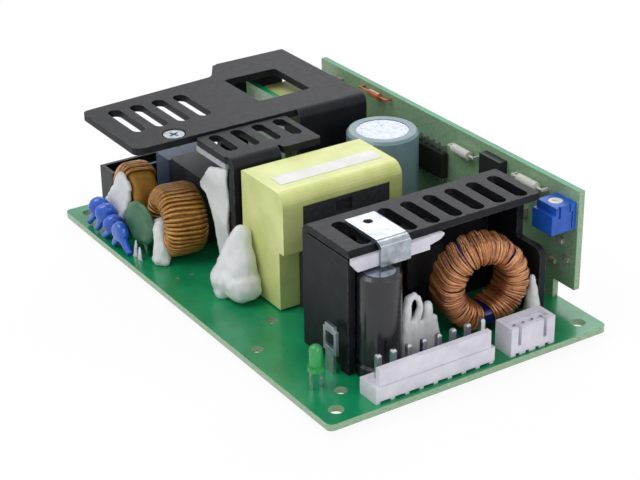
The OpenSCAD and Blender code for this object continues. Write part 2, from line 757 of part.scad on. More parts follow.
chips = [[-48, 24, 2, 1.2], [-44, 26.5, 3, 2], [-39, 25, 2, 1.2],
    [-36, 22, 1.6, 1], [29.6, 22.5, 2, 1.2], [32, 24, 1.6, 1],
    [34, 18, 3, 2.4], [39, 20, 2, 1.2], [43, 17, 2, 1.2],
    [48, 16, 2, 1.2], [50.5, 12, 1.6, 1], [46, 10, 2, 1.2]];
module chip_parts() color([0.5, 0.48, 0.44])
    on_board() at_control()
        for (c = chips)
            box(c[0] - c[2] / 2, c[0] + c[2] / 2, ctl_y0 - 0.9,
                ctl_y0 - gap, c[1] - c[3] / 2, c[1] + c[3] / 2);

// ---------- silicone ----------
module dome(x, y, z0, r, h)
    translate([x, y, z0])
        rotate_extrude($fn = 40)
            polygon(concat([[0, 0]], [for (i = [0:9])
                [r * cos(i * 10) * (1 - 0.12 * sin(i * 20)),
                    h * sin(i * 10)]], [[0, h]]));
module blob(c, r) translate(c) sphere(r, $fn = 40);
module silicone_input() color([0.88, 0.89, 0.88])
    on_board() at_input() at_front() {
        difference() {
            union() {
                blob([-22, -31.7, 1.7], 2.5);
                slanted([-22, -31.7, 2.6], [-22.2, -30.7, 8], 2.3, 1.2);
            }
            ring_at(front_c, 82)
                cylinder(h = 11.1, r = 9.2, $fn = 72, center = true);
            box(-30, -10, -40, -25, -5, 0);
        }
        ring_at(front_c, 82)
            difference() {
                cylinder(h = 10.6, r = 3.3, $fn = 40, center = true);
                box(-4, -0.8, -4, 4, -5, 5);
            }
        translate([0, -31.55, 0])
            rotate([90, 0, 0])
                linear_extrude(0.65)
                    polygon(round_corners([[-42.6, 17.2], [-46, 12.2],
                        [-50.6, 6.6], [-50.8, 0.6], [-43, 0],
                        [-40.2, 6.2], [-37.4, 10.6], [-36.6, 14.6],
                        [-40.8, 17.4]], [0.5, 2, 2, 0.8, 1.5, 3, 3,
                        1.6, 0.5], 5));
        difference() {
            slanted([-42, -31.6, 16], [-44.6, -31, 3], 0.7, 1.7);
            ring_at(rear_c, 83)
                cylinder(h = 8.8, r = 9.1, $fn = 72, center = true);
        }
    }
module silicone_transformer() color([0.88, 0.89, 0.88])
    on_board()
        difference() {
            union() {
                blob([1, -25.4, 4.4], 4.8);
                blob([6.4, -24.6, 4.3], 4.6);
                blob([3, -23.3, 14], 3.8);
                slanted([1, -25.4, 4.4], [3, -23.3, 14], 4.7, 3.7);
                slanted([6.4, -24.6, 4.3], [3, -23.3, 14], 4.5, 3.7);
            }
            box(-20, 20, -40, 0, -10, 0);
            box(-20, tx0 - 0.8, -21.7, 0, -1, 40);
            box(-20, 20, ty0 - gap, 0, -1, 40);
        }
module silicone_output() color([0.9, 0.9, 0.89])
    on_board() at_output()
        translate([51.2, 0, 0])
            rotate([90, 0, 90])
                linear_extrude(2.4)
                    polygon(round_corners([[-11.7, 0], [-11.7, 16],
                        [-10.6, 18.4], [-9.1, 17.8], [-7.7, 14.4],
                        [-6.5, 12.4], [-5.3, 14.8], [-3.6, 13.8],
                        [-2.2, 9], [-0.8, 4], [0.2, 0]], 0.4, 3));
module silicone_side() color([0.9, 0.9, 0.89])
    on_board() at_output()
        difference() {
            union() {
                up_cyl(51.9, 25.5, 0, 3, 2.5);
                translate([51.9, 25.5, 3])
                    cylinder(h = 8.6, r1 = 2.5, r2 = 0.8, $fn = 32);
            }
            box(40, 60, out_right - sink_gauge - 0.02, 40, -1, 20);
        }

main_board();
solder_joints();
control_board();
pfc_board();
rear_heatsink();
rear_heatsink_screw();
middle_heatsink();
middle_transistors();
insulating_pad();
insulating_film();
output_heatsink();
rectifier_clip();
clamp_bar();
clamp_tab();
output_rectifiers();
transformer_core();
transformer_tape();
transformer_label();
bulk_capacitor_can();
bulk_capacitor_sleeve();
output_capacitor_cans();
output_capacitor_sleeves();
output_choke_core();
output_choke_winding();
pfc_choke();
front_choke_core();
front_choke_winding();
rear_choke_core();
rear_choke_winding();
small_choke();
film_capacitor();
small_film_capacitor();
input_socket();
blue_capacitor_1();
blue_capacitor_2();
blue_capacitor_3();
blue_capacitor_4();
surge_disc();
surge_feet();
led_body();
led_leads();
ground_tab();
output_header();
output_pins();
signal_header();
signal_pins();
trimmer_body();
trimmer_rotor();
control_chip_large();
chip_pins();
control_chip_small();
glass_diode();
white_resistor_1();
white_resistor_2();
chip_parts();
silicone_input();
silicone_transformer();
silicone_output();
silicone_side();
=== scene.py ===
import math
import random

import bpy
from mathutils import Matrix, Vector


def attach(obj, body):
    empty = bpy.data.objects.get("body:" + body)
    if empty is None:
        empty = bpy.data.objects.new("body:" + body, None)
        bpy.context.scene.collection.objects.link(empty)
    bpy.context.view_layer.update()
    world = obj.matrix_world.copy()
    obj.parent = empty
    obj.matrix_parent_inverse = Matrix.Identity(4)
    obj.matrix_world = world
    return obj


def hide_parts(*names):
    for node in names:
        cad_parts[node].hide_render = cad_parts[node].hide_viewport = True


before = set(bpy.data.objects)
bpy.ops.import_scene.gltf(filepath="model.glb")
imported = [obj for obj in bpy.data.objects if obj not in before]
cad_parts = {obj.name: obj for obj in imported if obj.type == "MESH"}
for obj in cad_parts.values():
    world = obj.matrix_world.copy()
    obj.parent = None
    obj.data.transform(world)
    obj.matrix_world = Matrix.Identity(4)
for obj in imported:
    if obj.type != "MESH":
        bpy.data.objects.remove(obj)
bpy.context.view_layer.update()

MM = 0.001
LIFT = 3.6          # the board's top above the lead tips, mm
scene = bpy.context.scene
scene.view_settings.view_transform = "Standard"


# ---------------------------------------------------------------- materials
def srgb(c):
    return tuple(v / 12.92 if v <= 0.04045 else ((v + 0.055) / 1.055) ** 2.4 for v in c)


def hexc(h):
    h = h.lstrip("#")
    return srgb(tuple(int(h[i:i + 2], 16) / 255 for i in (0, 2, 4)))


class Mat:
    """A node material: colour from layered noise, worn edges, fine bump."""

    def __init__(self, name, rough=0.5, metal=0.0, spec=0.5, coat=0.0, coat_rough=0.1, trans=0.0, ior=1.45, sss=0.0, alpha=1.0):
        self.m = bpy.data.materials.new(name)
        self.m.use_nodes = True
        self.t = self.m.node_tree
        self.b = self.t.nodes["Principled BSDF"]
        self.b.inputs["Roughness"].default_value = rough
        self.b.inputs["Metallic"].default_value = metal
        self.b.inputs["Specular IOR Level"].default_value = spec
        self.b.inputs["IOR"].default_value = ior
        self.b.inputs["Coat Weight"].default_value = coat
        self.b.inputs["Coat Roughness"].default_value = coat_rough
        self.b.inputs["Transmission Weight"].default_value = trans
        self.b.inputs["Alpha"].default_value = alpha
        if sss:
            self.b.inputs["Subsurface Weight"].default_value = sss
            self.b.inputs["Subsurface Radius"].default_value = (0.0015, 0.0012, 0.001)
        self.co = self.n("ShaderNodeTexCoord").outputs["Object"]
        self.rough = rough
        self.normal = None

    def n(self, kind, **kw):
        node = self.t.nodes.new(kind)
        for k, v in kw.items():
            setattr(node, k, v)
        return node

    def link(self, a, b):
        self.t.links.new(a, b)

    def noise(self, scale, detail=3.0, rough=0.55, stretch=None, co=None):
        src = co or self.co
        if stretch:
            mp = self.n("ShaderNodeMapping")
            mp.inputs["Scale"].default_value = stretch
            self.link(src, mp.inputs["Vector"])
            src = mp.outputs["Vector"]
        t = self.n("ShaderNodeTexNoise")
        t.inputs["Scale"].default_value = scale
        t.inputs["Detail"].default_value = detail
        t.inputs["Roughness"].default_value = rough
        self.link(src, t.inputs["Vector"])
        return t.outputs["Fac"]

    def ramp(self, fac, stops):
        r = self.n("ShaderNodeValToRGB")
        while len(r.color_ramp.elements) < len(stops):
            r.color_ramp.elements.new(0.5)
        for e, (p, c) in zip(r.color_ramp.elements, stops):
            e.position = p
            e.color = (*c, 1) if len(c) == 3 else c
        self.link(fac, r.inputs["Fac"])
        return r.outputs["Color"]

    def mix(self, fac, a, b, kind="MIX"):
        x = self.n("ShaderNodeMix", data_type="RGBA", blend_type=kind)
        for sock, v in ((x.inputs["Factor"], fac), (x.inputs["A"], a), (x.inputs["B"], b)):
            pass
        ins = [i for i in x.inputs if i.enabled]
        for sock, v in zip(ins, (fac, a, b)):
            if isinstance(v, (int, float)):
                sock.default_value = v
            elif isinstance(v, tuple):
                sock.default_value = (*v, 1) if len(v) == 3 else v
            else:
                self.link(v, sock)
        return [o for o in x.outputs if o.enabled][0]

    def math(self, op, a, b=0.5, clamp=False):
        x = self.n("ShaderNodeMath", operation=op, use_clamp=clamp)
        for sock, v in zip(x.inputs, (a, b)):
            if isinstance(v, (int, float)):
                sock.default_value = v
            else:
                self.link(v, sock)
        return x.outputs[0]

    def step(self, v, lo, hi):
        x = self.n("ShaderNodeMapRange", interpolation_type="SMOOTHSTEP")
        x.inputs["From Min"].default_value = lo
        x.inputs["From Max"].default_value = hi
        self.link(v, x.inputs["Value"])
        return x.outputs["Result"]

    def axis(self, i, co=None):
        s = self.n("ShaderNodeSeparateXYZ")
        self.link(co or self.co, s.inputs[0])
        return s.outputs[i]

    def edges(self, radius_mm=0.25, lo=0.02, hi=0.16):
        """1 near convex and concave edges, 0 on flat faces."""
        bv = self.n("ShaderNodeBevel", samples=4)
        bv.inputs["Radius"].default_value = radius_mm * MM
        g = self.n("ShaderNodeNewGeometry")
        d = self.n("ShaderNodeVectorMath", operation="DOT_PRODUCT")
        self.link(bv.outputs["Normal"], d.inputs[0])
        self.link(g.outputs["Normal"], d.inputs[1])
        return self.step(self.math("SUBTRACT", 1.0, d.outputs["Value"]), lo, hi)

    def soft_edges(self, radius_mm=0.2):
        bv = self.n("ShaderNodeBevel", samples=4)
        bv.inputs["Radius"].default_value = radius_mm * MM
        self.normal = bv.outputs["Normal"]
        return self

    def bump(self, height, mm=0.03, strength=1.0):
        b = self.n("ShaderNodeBump")
        b.inputs["Strength"].default_value = strength
        b.inputs["Distance"].default_value = mm * MM
        self.link(height, b.inputs["Height"])
        if self.normal:
            self.link(self.normal, b.inputs["Normal"])
        self.normal = b.outputs["Normal"]
        return self

    def colour(self, c):
        if isinstance(c, tuple):
            self.b.inputs["Base Color"].default_value = (*c, 1)
        else:
            self.link(c, self.b.inputs["Base Color"])
        return self

    def roughness(self, lo, hi, scale=600):
        x = self.n("ShaderNodeMapRange")
        x.inputs["To Min"].default_value = lo
        x.inputs["To Max"].default_value = hi
        self.link(self.noise(scale, 2), x.inputs["Value"])
        self.link(x.outputs["Result"], self.b.inputs["Roughness"])
        return self

    def done(self):
        if self.normal:
            self.link(self.normal, self.b.inputs["Normal"])
        return self.m


def plain(name, c, dark=None, rough=0.5, metal=0.0, vary=0.18, scale=350, bump=0.02, bump_scale=2500, edge=0.2, worn=None, round_mm=0.15, **kw):
    """The base material that most pieces start from."""
    m = Mat(name, rough=rough, metal=metal, **kw)
    c = hexc(c) if isinstance(c, str) else c
    d = hexc(dark) if isinstance(dark, str) else (dark or tuple(v * (1 - vary) for v in c))
    col = m.ramp(m.noise(scale, 4), [(0.3, d), (0.7, c)])
    if round_mm:
        m.soft_edges(round_mm)
    if edge and worn is not None:
        w = hexc(worn) if isinstance(worn, str) else worn
        e = m.math("MULTIPLY", m.edges(0.3), m.step(m.noise(900, 4), 0.35, 0.65))
        col = m.mix(m.math("MULTIPLY", e, edge), col, w)
    m.colour(col)
    m.roughness(max(0.03, rough - 0.07), min(1, rough + 0.09))
    if bump:
        m.bump(m.noise(bump_scale, 3), bump)
    return m.done()


# ------------------------------------------------------------------- camera
def camera():
    f, az, el, roll, tx, ty, tz, d = 1687.7186, 57.2556, 26.3057, -0.7660, 14.8603, -8.5912, 15.0, 394.2446
    a, e, r = (math.radians(v) for v in (az, el, roll))
    back = Vector((math.sin(a) * math.cos(e), -math.cos(a) * math.cos(e), math.sin(e)))
    r0 = Vector((math.cos(a), math.sin(a), 0))
    u0 = back.cross(r0)
    right = math.cos(r) * r0 + math.sin(r) * u0
    up = -math.sin(r) * r0 + math.cos(r) * u0
    loc = (Vector((tx, ty, tz + LIFT)) + back * d) * MM
    cam = bpy.data.cameras.new("view_camera")
    cam.sensor_width = 36
    cam.lens = f * 36 / 640
    cam.clip_start = 0.01
    cam.clip_end = 20
    o = bpy.data.objects.new("view_camera", cam)
    scene.collection.objects.link(o)
    o.matrix_world = Matrix(((right.x, up.x, back.x, loc.x), (right.y, up.y, back.y, loc.y), (right.z, up.z, back.z, loc.z), (0, 0, 0, 1)))
    scene.camera = o


def area(name, loc, aim, size, watts, colour=(1, 1, 1)):
    l = bpy.data.lights.new(name, "AREA")
    l.shape = "RECTANGLE"
    l.size, l.size_y = size
    l.energy = watts
    l.color = colour
    o = bpy.data.objects.new(name, l)
    scene.collection.objects.link(o)
    o.location = loc
    o.rotation_euler = (Vector(aim) - Vector(loc)).to_track_quat("-Z", "Y").to_euler()
    return o


def seen_directly(t):
    """1 for camera, glossy and transmission rays."""
    lp = t.nodes.new("ShaderNodeLightPath")
    a = t.nodes.new("ShaderNodeMath")
    a.operation = "MAXIMUM"
    b = t.nodes.new("ShaderNodeMath")
    b.operation = "MAXIMUM"
    t.links.new(lp.outputs["Is Camera Ray"], a.inputs[0])
    t.links.new(lp.outputs["Is Glossy Ray"], a.inputs[1])
    t.links.new(a.outputs[0], b.inputs[0])
    t.links.new(lp.outputs["Is Transmission Ray"], b.inputs[1])
    return b.outputs[0]


def studio():
    w = bpy.data.worlds.new("studio")
    scene.world = w
    w.use_nodes = True
    t = w.node_tree
    bg = t.nodes["Background"]
    bg.inputs[0].default_value = (1, 1, 1, 1)
    bg.inputs[1].default_value = 0.42
    seen = t.nodes.new("ShaderNodeBackground")
    seen.inputs[0].default_value = (1, 1, 1, 1)
    seen.inputs[1].default_value = 1.0
    mx = t.nodes.new("ShaderNodeMixShader")
    t.links.new(seen_directly(t), mx.inputs[0])
    t.links.new(bg.outputs[0], mx.inputs[1])
    t.links.new(seen.outputs[0], mx.inputs[2])
    t.links.new(mx.outputs[0], t.nodes["World Output"].inputs[0])
    area("key", (-0.15, -0.45, 0.75), (0, 0, 0.01), (0.6, 0.6), 3.4)
    area("back", (-0.35, 0.45, 0.5), (0, 0, 0.01), (0.6, 0.3), 1.8)
    area("side", (0.75, 0.05, 0.35), (0, 0, 0.01), (0.5, 0.5), 1.6)
    bpy.ops.mesh.primitive_plane_add(size=4)
    fl = bpy.context.object
    fl.name = "floor"
    m = bpy.data.materials.new("floor_white")
    m.use_nodes = True
    t = m.node_tree
    b = t.nodes["Principled BSDF"]
    b.inputs["Base Color"].default_value = (0.97, 0.97, 0.97, 1)
    b.inputs["Roughness"].default_value = 0.9
    em = t.nodes.new("ShaderNodeEmission")
    em.inputs[0].default_value = (1, 1, 1, 1)
    em.inputs[1].default_value = 1.0
    k = t.nodes.new("ShaderNodeMath")
    k.operation = "MULTIPLY"
    k.inputs[1].default_value = 0.93
    t.links.new(seen_directly(t), k.inputs[0])
    mx = t.nodes.new("ShaderNodeMixShader")
    t.links.new(k.outputs[0], mx.inputs[0])
    t.links.new(b.outputs[0], mx.inputs[1])
    t.links.new(em.outputs[0], mx.inputs[2])
    t.links.new(mx.outputs[0], t.nodes["Material Output"].inputs[0])
    fl.data.materials.append(m)


camera()
studio()


# ------------------------------------------------------- materials for nodes
def board_green():
    m = Mat("solder_mask_green", rough=0.3, spec=0.55, coat=0.35, coat_rough=0.12)
    base = m.ramp(m.noise(120, 5), [(0.3, hexc("#047a4a")), (0.7, hexc("#0c9560"))])
    # copper areas under the mask show a shade lighter
    v = m.n("ShaderNodeTexVoronoi", feature="F1", distance="CHEBYCHEV")
    v.inputs["Scale"].default_value = 110
    m.link(m.co, v.inputs["Vector"])
    cop = m.step(m.axis(0, v.outputs["Color"]), 0.45, 0.5)
    col = m.mix(m.math("MULTIPLY", cop, 0.25), base, hexc("#18a06c"))
    # bare laminate at the cut edges
    g = m.n("ShaderNodeNewGeometry")
    up = m.math("ABSOLUTE", m.axis(2, g.outputs["Normal"]))
    side = m.math("SUBTRACT", 1.0, m.step(up, 0.3, 0.8))
    rim = m.ramp(m.noise(900, 3, stretch=(1, 1, 6)), [(0.3, hexc("#6f9a78")), (0.7, hexc("#a8c2a0"))])
    col = m.mix(side, col, rim)
    m.colour(col)
    m.soft_edges(0.12)
    m.bump(m.math("ADD", m.math("MULTIPLY", cop, 0.5), m.noise(1800, 3)), 0.02)
    return m.done()


M = {}
M["green"] = board_green()
M["sink"] = plain("black_anodised", "#1d1e24", "#121317", rough=0.45, spec=0.22, vary=0.2, scale=260, bump=0.012, bump_scale=5000, edge=0.55, worn="#8d8f96", round_mm=0.18)
M["steel"] = plain("bright_steel", "#b9bec6", "#8d939c", rough=0.3, metal=0.9, scale=500, bump=0.01, edge=0.4, worn="#e6e8ea")
M["tin"] = plain("tinned_lead", "#cfd3d6", "#a2a7ab", rough=0.26, metal=0.9, scale=900, bump=0.01)
M["solder"] = plain("solder", "#c9cdd2", "#9ba0a6", rough=0.22, metal=0.95, scale=1200, bump=0.03, bump_scale=1600)
M["package"] = plain("black_moulding", "#222326", "#141517", rough=0.5, scale=700, bump=0.02, bump_scale=4000, edge=0.3, worn="#5a5c60")
M["ferrite"] = plain("ferrite", "#3b3c40", "#26272a", rough=0.6, scale=900, bump=0.03, bump_scale=3500, edge=0.4, worn="#77787c")
M["tape"] = plain("yellow_tape", "#e4e9a0", "#c9cf7c", rough=0.38, spec=0.5, scale=90, bump=0.03, bump_scale=500, coat=0.25, coat_rough=0.25)
M["label"] = plain("white_label", "#efefec", "#dcdcd8", rough=0.55, scale=200, bump=0.01)
M["can"] = plain("aluminium_can", "#c3cad6", "#a4acba", rough=0.25, metal=0.9, scale=700, bump=0.008)
M["sleeve_blue"] = plain("bulk_sleeve", "#7f979f", "#66808a", rough=0.3, scale=60, bump=0.01, bump_scale=700, coat=0.3)
M["sleeve_black"] = plain("output_sleeve", "#1b1c22", "#101115", rough=0.28, scale=200, bump=0.01, bump_scale=700, coat=0.4)
M["core_blue"] = plain("blue_core_coating", "#16226e", "#0c1450", rough=0.35, scale=400, bump=0.03, bump_scale=900, coat=0.3)
M["core_mustard"] = plain("mustard_core_coating", "#a8781e", "#80590f", rough=0.45, scale=400, bump=0.03, bump_scale=900)
M["enamel_out"] = plain("enamelled_copper_out", "#c98a55", "#a4652f", rough=0.3, metal=0.55, scale=700, bump=0.01, coat=0.4)
M["enamel_in"] = plain("enamelled_copper_in", "#b9812e", "#8d5c1a", rough=0.3, metal=0.45, scale=700, bump=0.01, coat=0.5)
M["film_cap"] = plain("film_capacitor_case", "#3d414d", "#2c2f39", rough=0.5, scale=300, bump=0.02, edge=0.3, worn="#5d616c")
M["film_cap_blue"] = plain("small_capacitor_case", "#5d6e8a", "#4a5872", rough=0.5, scale=300, bump=0.02, edge=0.3, worn="#7f8da4")
M["black_plastic"] = plain("black_plastic", "#202124", "#131416", rough=0.45, scale=400, bump=0.02, edge=0.3, worn="#4c4d50")
M["white_plastic"] = plain("white_nylon", "#e6e4ee", "#d2d0dc", rough=0.42, scale=220, bump=0.01, sss=0.1)
M["pins"] = plain("tinned_pins", "#c7c9cf", "#a0a3aa", rough=0.22, metal=0.95, scale=900, bump=0.01)
M["blue_epoxy"] = plain("blue_epoxy", "#1c5fd0", "#1450b4", rough=0.28, scale=500, bump=0.05, bump_scale=700, coat=0.5, round_mm=0)
M["green_epoxy"] = plain("green_epoxy", "#47785a", "#39654a", rough=0.4, scale=400, bump=0.03, bump_scale=700, round_mm=0)
M["led"] = plain("green_lens", "#4fc476", "#2fae5c", rough=0.2, scale=300, bump=0.0, trans=0.35, round_mm=0)
M["silicone"] = plain("white_silicone", "#e6e8ea", "#d6d9da", rough=0.42, scale=120, bump=0.08, bump_scale=260, sss=0.25, round_mm=0.5)
M["trimmer"] = plain("trimmer_blue", "#2060c8", "#184fae", rough=0.38, scale=500, bump=0.01)
M["rotor"] = plain("rotor_white", "#e9e8e4", "#d4d3ce", rough=0.4, scale=500, bump=0.01)
M["glass"] = plain("diode_glass", "#c8703a", "#9a4a22", rough=0.12, scale=900, bump=0.0, coat=0.8)
M["resistor"] = plain("resistor_white", "#dcdcd6", "#c4c4be", rough=0.6, scale=700, bump=0.03)
M["pad"] = plain("thermal_pad", "#b7bcc0", "#9ba0a4", rough=0.7, scale=900, bump=0.02)
M["film"] = plain("clear_film", "#e8eaea", "#d8dada", rough=0.25, scale=300, bump=0.03, trans=0.3)
M["chip"] = plain("chip_parts", "#b9b2a2", "#6e675c", rough=0.5, scale=1500, bump=0.01)

USE = {
    "main_board": "green", "control_board": "green", "pfc_board": "green",
    "solder_joints": "solder", "rear_heatsink": "sink", "middle_heatsink": "sink", "output_heatsink": "sink",
    "rear_heatsink_screw": "steel", "middle_transistors": "package", "output_rectifiers": "package",
    "insulating_pad": "pad", "insulating_film": "film", "rectifier_clip": "steel", "clamp_bar": "white_plastic", "clamp_tab": "white_plastic",
    "transformer_core": "ferrite", "transformer_tape": "tape", "transformer_label": "label",
    "bulk_capacitor_can": "can", "bulk_capacitor_sleeve": "sleeve_blue",
    "output_capacitor_cans": "can", "output_capacitor_sleeves": "sleeve_black",
    "output_choke_core": "core_blue", "output_choke_winding": "enamel_out",
    "front_choke_core": "core_mustard", "front_choke_winding": "enamel_in",
    "rear_choke_core": "core_mustard", "rear_choke_winding": "enamel_in",
    "pfc_choke": "tape", "film_capacitor": "film_cap", "small_film_capacitor": "film_cap_blue", "small_choke": "enamel_out", "input_socket": "black_plastic",
    "blue_capacitor_1": "blue_epoxy", "blue_capacitor_2": "blue_epoxy", "blue_capacitor_3": "blue_epoxy", "blue_capacitor_4": "blue_epoxy",
    "surge_disc": "green_epoxy", "surge_feet": "tin", "led_body": "led", "led_leads": "tin", "ground_tab": "steel",
    "output_header": "white_plastic", "signal_header": "white_plastic", "output_pins": "pins", "signal_pins": "pins",
    "trimmer_body": "trimmer", "trimmer_rotor": "rotor", "control_chip_large": "package", "control_chip_small": "package",
    "chip_pins": "tin", "glass_diode": "glass", "white_resistor_1": "resistor", "white_resistor_2": "resistor", "chip_parts": "chip",
    "silicone_input": "silicone", "silicone_transformer": "silicone", "silicone_output": "silicone", "silicone_side": "silicone",
}
for name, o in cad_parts.items():
    key = USE.get(name)
    if not key:
        print("no material for", name)
        continue
    for s in o.material_slots:
        s.material = M[key]


# ------------------------------------------------------------ mesh builders
def new_mesh(name, verts, faces, mats, body="supply", smooth=True, idx=None):
    """verts in mm above the board's top, one object riding on a body."""
    me = bpy.data.meshes.new(name)
    me.from_pydata([(x * MM, y * MM, (z + LIFT) * MM) for x, y, z in verts], [], faces)
    me.validate()
    for m in (mats if isinstance(mats, (list, tuple)) else [mats]):
        me.materials.append(m)
    if idx:
        me.polygons.foreach_set("material_index", idx)
    if smooth:
        me.shade_smooth()
    me.update()
    o = bpy.data.objects.new(name, me)
    scene.collection.objects.link(o)
    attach(o, body)
    return o


def tube(pts, radius, sides=8, closed=False, flat=1.0):
    """Vertices and faces of a round tube along points, radius a number or a list."""
    n = len(pts)
    P = [Vector(p) for p in pts]
    verts, faces = [], []
    up = None
    for i, p in enumerate(P):
        a = P[(i - 1) % n] if closed or i else P[0]
        b = P[(i + 1) % n] if closed or i < n - 1 else P[-1]
        t = (b - a).normalized()
        if up is None:
            up = t.orthogonal().normalized()
        up = (up - t * up.dot(t)).normalized()
        side = t.cross(up)
        r = radius[i] if isinstance(radius, list) else radius
        for k in range(sides):
            q = 2 * math.pi * k / sides
            v = p + up * (math.cos(q) * r) + side * (math.sin(q) * r * flat)
            verts.append(tuple(v))
    m = n if closed else n - 1
    for i in range(m):
        j = (i + 1) % n
        for k in range(sides):
            l = (k + 1) % sides
            faces.append((i * sides + k, i * sides + l, j * sides + l, j * sides + k))
    if not closed:
        faces.append(tuple(range(sides))[::-1])
        faces.append(tuple((n - 1) * sides + k for k in range(sides)))
    return verts, faces


def merge(parts):
    verts, faces, idx = [], [], []
    for item in parts:
        v, f = item[0], item[1]
        m = item[2] if len(item) > 2 else 0
        o = len(verts)
        verts += v
        faces += [tuple(i + o for i in q) for q in f]
        idx += [m] * len(f)
    return verts, faces, idx


def ring_point(c, az, r, a, h):
    """a in degrees from straight down, on a ring whose axis lies at azimuth az."""
    ca, sa = math.cos(math.radians(a)), math.sin(math.radians(a))
    cz, sz = math.cos(math.radians(az)), math.sin(math.radians(az))
    return (c[0] + h * cz - r * sa * sz, c[1] + h * sz + r * sa * cz, c[2] - r * ca)


def section(ri, ro, h, rr, d, t):
    """Point t (0..1) round a rounded rectangle section at distance d outside it: radius, height, how far inside (0..1)."""
    w, g = (ro - ri) / 2 - rr, h / 2 - rr
    R = rr + d
    q = math.pi / 2 * R
    total = 4 * w + 4 * g + 4 * q
    s = (t % 1.0) * total
    cx = (ri + ro) / 2
    # starts at the outer face's middle, goes up to +h, over to the inner face, down, and back
    for length, kind in ((g, 0), (q, 1), (2 * w, 2), (q, 3), (2 * g, 4), (q, 5), (2 * w, 6), (q, 7), (g, 8)):
        if s <= length or kind == 8:
            u = s / length if length else 0
            break
        s -= length
    A = math.pi / 2 * u
    if kind == 0:
        x, y = w + R, g * u
    elif kind == 1:
        x, y = w + R * math.cos(A), g + R * math.sin(A)
    elif kind == 2:
        x, y = w - 2 * w * u, g + R
    elif kind == 3:
        x, y = -w - R * math.sin(A), g + R * math.cos(A)
    elif kind == 4:
        x, y = -w - R, g - 2 * g * u
    elif kind == 5:
        x, y = -w - R * math.cos(A), -g - R * math.sin(A)
    elif kind == 6:
        x, y = -w + 2 * w * u, -g - R
    elif kind == 7:
        x, y = w + R * math.sin(A), -g - R * math.cos(A)
    else:
        x, y = w + R, -g + g * u
    inner = 0.5 - 0.5 * x / (w + R)
    return cx + x, y, inner


def wound(name, c, az, core, turns, a0, a1, strands, wire, mats, node, steps=28, sides=6, lean=0.0, gaps=(), crown=0.0, seed=1, stack=0.5, spread=0.92, jitter=0.04):
    """Strands wound side by side as one helix round a ring core."""
    ri, ro, h, rr = core
    rnd = random.Random(seed)
    parts = []
    pitch = (a1 - a0) / turns
    centres = [a0 + pitch * (i + 0.5) for i in range(turns)]
    if gaps:
        pulled = []
        for a in centres:
            s = 0.0
            for g, amount in gaps:
                dlt = a - g
                s += math.copysign(amount, dlt) * math.exp(-abs(dlt) / (pitch * 1.6))
            pulled.append(a + s)
        centres = pulled
    for k in range(strands):
        e = 0.0 if strands == 1 else (k - (strands - 1) / 2) / ((strands - 1) / 2)
        for i, ca in enumerate(centres):
            ph = [rnd.uniform(0, 6.28) for _ in range(3)]
            jit = rnd.uniform(-jitter, jitter)
            up = (k + i) % 2 if strands == 1 else k % 2
            pts = []
            for s in range(steps):
                t = s / steps
                x, y, inner = section(ri, ro, h, rr, 0.0, t)
                width = pitch * spread * (0.5 if strands == 1 else 0.5 - 0.5 / strands)
                lift = wire * 0.52 + crown * (1 - e * e) * (1 - 0.3 * inner) + up * stack * wire * inner * inner
                wave = jit + jitter * math.sin(6.28 * t * 2 + ph[0])
                x, y, inner = section(ri, ro, h, rr, lift + 0.03 * math.sin(6.28 * t * 3 + ph[1]), t)
                a = ca + e * width + lean * math.sin(2 * math.pi * t) + math.degrees(wave / x)
                pts.append(ring_point(c, az, x, a, y))
            v, f = tube(pts, wire / 2, sides, closed=True)
            parts.append((v, f, rnd.randrange(len(mats))))
    v, f, idx = merge(parts)
    o = new_mesh(name, v, f, mats, idx=idx)
    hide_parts(node)
    return o


def lump(name, shapes, mats, nodes, voxel=0.32, smooth=10, noise=0.35, noise_size=3.0, cut=None):
    """A smooth soft run of adhesive from overlapping balls and rods, in mm above the board."""
    import bmesh
    bm = bmesh.new()
    for s in shapes:
        a, ra = Vector(s[0]), s[1]
        b, rb = (Vector(s[2]), s[3]) if len(s) > 2 else (a, ra)
        n = max(2, int((b - a).length / (0.5 * min(ra, rb))) + 1) if len(s) > 2 else 1
        for i in range(n):
            u = i / max(1, n - 1)
            p = a.lerp(b, u)
            r = ra + (rb - ra) * u
            bmesh.ops.create_icosphere(bm, subdivisions=2, radius=r * MM, matrix=Matrix.Translation((p.x * MM, p.y * MM, (p.z + LIFT) * MM)))
    me = bpy.data.meshes.new(name)
    bm.to_mesh(me)
    bm.free()
    o = bpy.data.objects.new(name, me)
    scene.collection.objects.link(o)
    r = o.modifiers.new("r", "REMESH")
    r.mode = "VOXEL"
    r.voxel_size = voxel * MM
    s = o.modifiers.new("s", "SMOOTH")
    s.factor = 0.6
    s.iterations = smooth
    dg = bpy.context.evaluated_depsgraph_get()
    fin = bpy.data.meshes.new_from_object(o.evaluated_get(dg))
    bpy.data.objects.remove(o)
    bpy.data.meshes.remove(me)
    from mathutils import noise as ns
    for v in fin.vertices:
        p = v.co / MM
        q = p / noise_size
        w = ns.noise(q) + 0.5 * ns.noise(q * 2.3)
        fold = ns.noise(Vector((q.x * 1.7, q.y * 1.7, q.z * 0.6)) + Vector((7, 3, 1)))
        co = v.co + v.normal * (noise * (w - 1.2 * max(0, 0.25 - abs(fold))) * MM)
        co.z = max(co.z, (LIFT + 0.02) * MM)
        if cut:
            for axis, side, lim in cut:
                lim_m = (lim + (LIFT if axis == 2 else 0)) * MM
                co[axis] = min(co[axis], lim_m) if side < 0 else max(co[axis], lim_m)
        v.co = co
    fin.materials.clear()
    fin.materials.append(mats)
    fin.shade_smooth()
    o = bpy.data.objects.new(name, fin)
    scene.collection.objects.link(o)
    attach(o, "supply")
    if nodes:
        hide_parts(*nodes)
    return o


